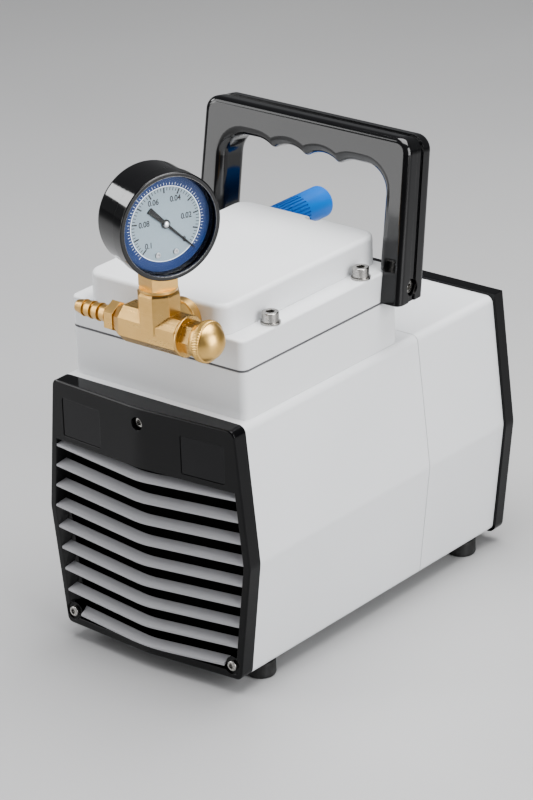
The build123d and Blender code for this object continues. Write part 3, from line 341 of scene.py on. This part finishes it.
def turned(profile, steps=128, closed=True):
    """Solid of revolution about local Z from (radius, height) points; an open profile is capped."""
    mesh = bmesh.new()
    rings = []
    for step in range(steps):
        angle = 2 * math.pi * step / steps
        rings.append([mesh.verts.new((radius * math.cos(angle), radius * math.sin(angle), height))
                      for radius, height in profile])
    count = len(profile)
    for step in range(steps):
        here, after = rings[step], rings[(step + 1) % steps]
        for index in range(count if closed else count - 1):
            following = (index + 1) % count
            mesh.faces.new((here[index], after[index], after[following], here[following]))
    if not closed:
        mesh.faces.new([ring[0] for ring in reversed(rings)])
        mesh.faces.new([ring[-1] for ring in rings])
    bmesh.ops.recalc_face_normals(mesh, faces=mesh.faces)
    return mesh


def bars(marks, thick):
    """Thin radial bars for a printed scale: each mark is (angle, inner radius, outer radius, width)."""
    mesh = bmesh.new()
    for angle, inner, outer, width in marks:
        centre = Matrix.Rotation(angle, 4, "Z") @ Matrix.Translation(((inner + outer) / 2, 0, thick / 2))
        size = Matrix.Diagonal((outer - inner, width, thick, 1))
        bmesh.ops.create_cube(mesh, size=1.0, matrix=centre @ size)
    return mesh


def reach(node_name, direction):
    """How far a node's vertices go along a direction, least and most."""
    along = [vertex.co.dot(direction) for vertex in nodes[node_name].data.vertices]
    return min(along), max(along)


def facing(origin, normal):
    """Matrix whose local Z is the normal and local Y is as near upright as it can be."""
    side = Vector((0, 0, 1)).cross(normal).normalized()
    up = normal.cross(side)
    matrix = Matrix((side, up, normal)).transposed().to_4x4()
    matrix.translation = origin
    return matrix


# --- Gauge dial ----------------------------------------------------------------------------------
pointer_joint = joints["pointer_turn"]
gauge_ahead = Vector(pointer_joint["axis"]).normalized()
gauge_axis = Vector(pointer_joint["pos_m"])
dial_face = reach("gauge_dial", gauge_ahead)[1]
dial_origin = gauge_axis + gauge_ahead * (dial_face - gauge_axis.dot(gauge_ahead))
dial_place = facing(dial_origin, gauge_ahead)

ink_black = print_ink("dial_black_ink", (0.012, 0.012, 0.013))
ink_white = print_ink("dial_white_ink", (0.80, 0.83, 0.85))
ink_blue = print_ink("dial_blue_ink", (0.002, 0.022, 0.10), 0.35)

INK = 0.03 * MM
RING_RADIUS = 18.7 * MM
RING_LINE_WIDTH = 0.3 * MM
BAND_EDGE = 23.6 * MM
SCALE_START = math.radians(-45)
SCALE_SWEEP = math.radians(270)

band = [(RING_RADIUS, 0), (BAND_EDGE, 0), (BAND_EDGE, INK), (RING_RADIUS, INK)]
piece("dial_band", turned(band), ink_blue, "pump", dial_place)
ring_inner = RING_RADIUS - RING_LINE_WIDTH
ring_line = [(ring_inner, 0), (RING_RADIUS, 0), (RING_RADIUS, 1.6 * INK), (ring_inner, 1.6 * INK)]
piece("dial_ring_line", turned(ring_line), ink_white, "pump", dial_place)

# Ticks as (every how many steps, length, width), the longest first.
BLACK_STEPS = 50
BLACK_GAP = 0.7 * MM
BLACK_TICKS = ((5, 2.8 * MM, 0.7 * MM), (1, 1.6 * MM, 0.34 * MM))
WHITE_STEPS = 60
WHITE_GAP = 0.5 * MM
WHITE_TICKS = ((20, 1.7 * MM, 0.16 * MM), (2, 1.2 * MM, 0.16 * MM), (1, 0.8 * MM, 0.16 * MM))


def tick_marks(steps, ticks, foot, way):
    """Marks along the scale from a foot radius, outwards when way is 1 and inwards when it is -1."""
    marks = []
    for step in range(steps + 1):
        angle = SCALE_START + SCALE_SWEEP * step / steps
        length, width = next((long, wide) for every, long, wide in ticks if step % every == 0)
        marks.append((angle, *sorted((foot, foot + way * length)), width))
    return marks


black_marks = tick_marks(BLACK_STEPS, BLACK_TICKS, RING_RADIUS - BLACK_GAP, -1)
piece("dial_scale_marks", bars(black_marks, INK), ink_black, "pump", dial_place)
white_marks = tick_marks(WHITE_STEPS, WHITE_TICKS, RING_RADIUS + WHITE_GAP, 1)
piece("dial_band_marks", bars(white_marks, 2 * INK), ink_white, "pump", dial_place)

NUMBERS = 6
NUMBER_STEP = 0.02
NUMBER_SIZE = 4.0 * MM
NUMBER_WEIGHT = 0.07 * MM
NUMBER_WIDTH = 0.84
NUMBER_REACH = 14.2 * MM
for index in range(NUMBERS):
    angle = SCALE_START + SCALE_SWEEP * index / (NUMBERS - 1)
    curve = bpy.data.curves.new("dial_number", "FONT")
    curve.body = f"{index * NUMBER_STEP:g}"
    curve.size = NUMBER_SIZE
    curve.extrude = INK
    curve.offset = NUMBER_WEIGHT
    curve.align_x = "CENTER"
    curve.align_y = "CENTER"
    text = bpy.data.objects.new("dial_text", curve)
    bpy.context.scene.collection.objects.link(text)
    bpy.context.view_layer.update()
    printed = bmesh.new()
    printed.from_mesh(text.to_mesh())
    bpy.data.objects.remove(text)
    # Set in by half a number's width, so that each one clears the ticks beside it.
    half_wide = NUMBER_WIDTH * max(vertex.co.x for vertex in printed.verts)
    set_in = NUMBER_REACH - half_wide * abs(math.cos(angle))
    spot = (set_in * math.cos(angle), set_in * math.sin(angle), INK)
    piece(f"dial_number_{index}", printed, ink_black, "pump",
          dial_place @ Matrix.Translation(spot) @ Matrix.Diagonal((NUMBER_WIDTH, 1.0, 1.0, 1.0)))

# The black wall between the dial and the lens, as inner and outer radius at its foot and its top.
WALL_FOOT = (BAND_EDGE - 0.1 * MM, 24.25 * MM)
WALL_TOP = (24.1 * MM, 24.4 * MM)
WALL_GAP = 0.1 * MM
lens_back = reach("gauge_lens", gauge_ahead)[0]
wall_rise = lens_back - dial_face - WALL_GAP
inner_wall = [(WALL_FOOT[0], 2 * INK), (WALL_FOOT[1], 2 * INK), (WALL_TOP[1], wall_rise),
              (WALL_TOP[0], wall_rise)]
piece("gauge_inner_wall", turned(inner_wall), looks["gauge_black"], "pump", dial_place)

# The bright worn edge of the bezel is a bead let into its front.
RIM_RADIUS = 24.62 * MM
BEAD_RADIUS = 0.22 * MM
BEAD_DEPTH = 0.24 * MM
BEAD_STEPS = 10
bezel_front = reach("gauge_bezel", gauge_ahead)[1] - dial_face
rim_metal = metal("bezel_rim_edge", (0.30, 0.30, 0.31), (0.10, 0.10, 0.10),
                  rough=0.18, marks=EVEN, mark_depth=0.000006, edge=0.0001)
rim = []
for step in range(BEAD_STEPS):
    angle = 2 * math.pi * step / BEAD_STEPS
    rim.append((RIM_RADIUS + BEAD_RADIUS * math.cos(angle),
                bezel_front - BEAD_DEPTH + BEAD_RADIUS * math.sin(angle)))
piece("gauge_rim_line", turned(rim), rim_metal, "pump", dial_place)

# The pointer's hub cap: sunk into the pointer, with a short straight side and a low crown.
HUB_FOOT_RADIUS = 1.55 * MM
HUB_RADIUS = 1.5 * MM
HUB_SINK = 0.2 * MM
HUB_SIDE = 0.15 * MM
CROWN_RISE = 0.55 * MM
CROWN_STEPS = 7
pointer_front = reach("gauge_pointer", gauge_ahead)[1] - dial_face
crown_foot = pointer_front + HUB_SIDE
hub = [(HUB_FOOT_RADIUS, pointer_front - HUB_SINK), (HUB_RADIUS, crown_foot)]
for step in range(1, CROWN_STEPS):
    angle = math.pi / 2 * step / CROWN_STEPS
    hub.append((HUB_RADIUS * math.cos(angle), crown_foot + CROWN_RISE * math.sin(angle)))
hub_steel = metal("hub_steel", (0.80, 0.81, 0.82), (0.62, 0.63, 0.64),
                  rough=0.3, marks=EVEN, mark_depth=0.000005, edge=0.0001)
piece("pointer_hub", turned(hub, 48, closed=False), hub_steel, "pointer", dial_place)


# --- Bleed knob ----------------------------------------------------------------------------------
knob_low, knob_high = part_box("regulator_knob")
knob_centre = (knob_low + knob_high) / 2
NECK_LENGTH = 3.2 * MM
RIM_LENGTH = 3.7 * MM
DOME_RADIUS = 10.05 * MM
DOME_STEPS = 18
TEETH = 50
STEPS_PER_TOOTH = 6
TOOTH_DEPTH = 0.5 * MM
TOOTH_SLANT = 0.9  # teeth that a groove shifts over the rim's length
GROOVE_SHARPNESS = 1.6
# Neck and rim as (millimetres from the neck's end, radius in millimetres, share of the knurl's depth).
KNOB_STATIONS = ((0.0, 8.5, 0.0), (0.5, 9.1, 0.0), (3.0, 9.15, 0.0), (3.2, 9.9, 0.0), (3.5, 10.42, 1.0),
                 (4.4, 10.42, 1.0), (5.4, 10.42, 1.0), (6.45, 10.42, 1.0), (6.8, 9.95, 0.0),
                 (6.9, 9.5, 0.0))


def knurled_knob():
    """Domed knob: a plain neck, a rim with slanted knurling and a dome struck from the rim's near face."""
    steps = TEETH * STEPS_PER_TOOTH
    profile = [(along * MM, radius * MM, knurl) for along, radius, knurl in KNOB_STATIONS]
    dome_start = math.asin(RIM_LENGTH / DOME_RADIUS)
    for step in range(DOME_STEPS):
        angle = dome_start + (math.pi / 2 - dome_start) * step / DOME_STEPS
        profile.append((NECK_LENGTH + DOME_RADIUS * math.sin(angle), DOME_RADIUS * math.cos(angle), 0.0))
    mesh = bmesh.new()
    rings = []
    for along, radius, knurl in profile:
        slant = (along - NECK_LENGTH) / RIM_LENGTH * TOOTH_SLANT
        ring = []
        for step in range(steps):
            phase = (step / STEPS_PER_TOOTH + slant) * 2 * math.pi
            groove = knurl * TOOTH_DEPTH * (0.5 - 0.5 * math.cos(phase)) ** GROOVE_SHARPNESS
            angle = 2 * math.pi * step / steps
            reached = radius - groove
            ring.append(mesh.verts.new((reached * math.cos(angle), reached * math.sin(angle), along)))
        rings.append(ring)
    for lower, upper in zip(rings, rings[1:]):
        for step in range(steps):
            after = (step + 1) % steps
            mesh.faces.new((lower[step], lower[after], upper[after], upper[step]))
    mesh.faces.new(list(reversed(rings[0])))
    tip = mesh.verts.new((0, 0, NECK_LENGTH + DOME_RADIUS))
    for step in range(steps):
        mesh.faces.new((rings[-1][step], rings[-1][(step + 1) % steps], tip))
    return mesh


knob_place = facing(Vector((knob_low.x, knob_centre.y, knob_centre.z)), Vector((1, 0, 0)))
knob_brass = metal("knob_brass", (0.76, 0.51, 0.20), (0.64, 0.41, 0.14),
                   rough=0.30, marks=EVEN, mark_depth=0.000004, edge=0.0002, tarnish_size=0.02)
knob = piece("bleed_knob", knurled_knob(), knob_brass, "knob", knob_place, smooth=50.0)
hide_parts("regulator_knob")


# --- Floor, light and camera ---------------------------------------------------------------------
FLOOR_HALF = 12.0


def studio_floor():
    """A wide sheet of pale paper under the feet."""
    data = bpy.data.meshes.new("studio_floor")
    signs = ((-1, -1), (1, -1), (1, 1), (-1, 1))
    data.from_pydata([(x * FLOOR_HALF, y * FLOOR_HALF, 0) for x, y in signs], [], [(0, 1, 2, 3)])
    surface = Surface("floor_paper")
    tone = surface.spread(surface.noise(0.6, detail=2.0), *NOISE_SPAN)
    surface.colour(surface.blend(tone, (0.47, 0.47, 0.47), (0.44, 0.44, 0.445)))
    surface.roughness(surface.spread(surface.noise(0.1), *NOISE_SPAN, 0.42, 0.5))
    data.materials.append(surface.material)
    floor = bpy.data.objects.new("studio_floor", data)
    bpy.context.scene.collection.objects.link(floor)


def soft_box(name, spot, target, width, height, watts):
    """A rectangular studio light at a spot, facing a target."""
    light = bpy.data.lights.new(name, "AREA")
    light.shape = "RECTANGLE"
    light.size = width
    light.size_y = height
    light.energy = watts
    lamp = bpy.data.objects.new(name, light)
    bpy.context.scene.collection.objects.link(lamp)
    lamp.location = spot
    lamp.rotation_euler = (Vector(target) - Vector(spot)).to_track_quat("-Z", "Y").to_euler()


# Name, spot, width, height and watts; every light faces the middle of the pump.
LIGHTS = (
    ("overhead_box", (0.1, 0.1, 1.25), 1.1, 1.1, 25.0),
    ("right_box", (1.25, -0.15, 0.55), 0.8, 1.0, 14.0),
    ("left_box", (-1.0, -0.75, 0.75), 0.5, 1.0, 5.0),
    ("front_box", (-0.72, -1.05, 0.25), 0.7, 0.5, 3.2),
    ("gauge_box", (-1.10, -0.26, 0.72), 0.30, 0.35, 2.2),
)
WORLD_COLOUR = (0.80, 0.81, 0.83, 1.0)
WORLD_STRENGTH = 0.22

studio_floor()
middle = (cad_box[0] + cad_box[1]) / 2
for name, spot, width, height, watts in LIGHTS:
    soft_box(name, spot, middle, width, height, watts)

world = bpy.data.worlds.new("studio")
world.use_nodes = True
background = world.node_tree.nodes["Background"]
background.inputs["Color"].default_value = WORLD_COLOUR
background.inputs["Strength"].default_value = WORLD_STRENGTH
bpy.context.scene.world = world
bpy.context.scene.view_settings.look = "AgX - Medium High Contrast"

# The camera's place round the point it aims at, as fitted to the photograph's outline.
AZIMUTH = math.radians(39.70)
ELEVATION = math.radians(23.33)
ROLL = math.radians(-2.03)
DISTANCE = 1.85883
AIM = Vector((-0.01066, middle.y + 0.0155, 0.10391))
SENSOR_MM = 36.0
FOCAL_MM = 162.7

back = Vector((math.sin(AZIMUTH) * math.cos(ELEVATION),
               -math.cos(AZIMUTH) * math.cos(ELEVATION), math.sin(ELEVATION)))
right = Vector((math.cos(AZIMUTH), math.sin(AZIMUTH), 0))
up = back.cross(right)
rolled_right = math.cos(ROLL) * right + math.sin(ROLL) * up
rolled_up = back.cross(rolled_right)
camera_place = Matrix((rolled_right, rolled_up, back)).transposed().to_4x4()
camera_place.translation = AIM + back * DISTANCE
camera_data = bpy.data.cameras.new("camera")
camera_data.sensor_width = SENSOR_MM
camera_data.sensor_fit = "AUTO"
camera_data.lens = FOCAL_MM
camera = bpy.data.objects.new("camera", camera_data)
bpy.context.scene.collection.objects.link(camera)
camera.matrix_world = camera_place
bpy.context.scene.camera = camera
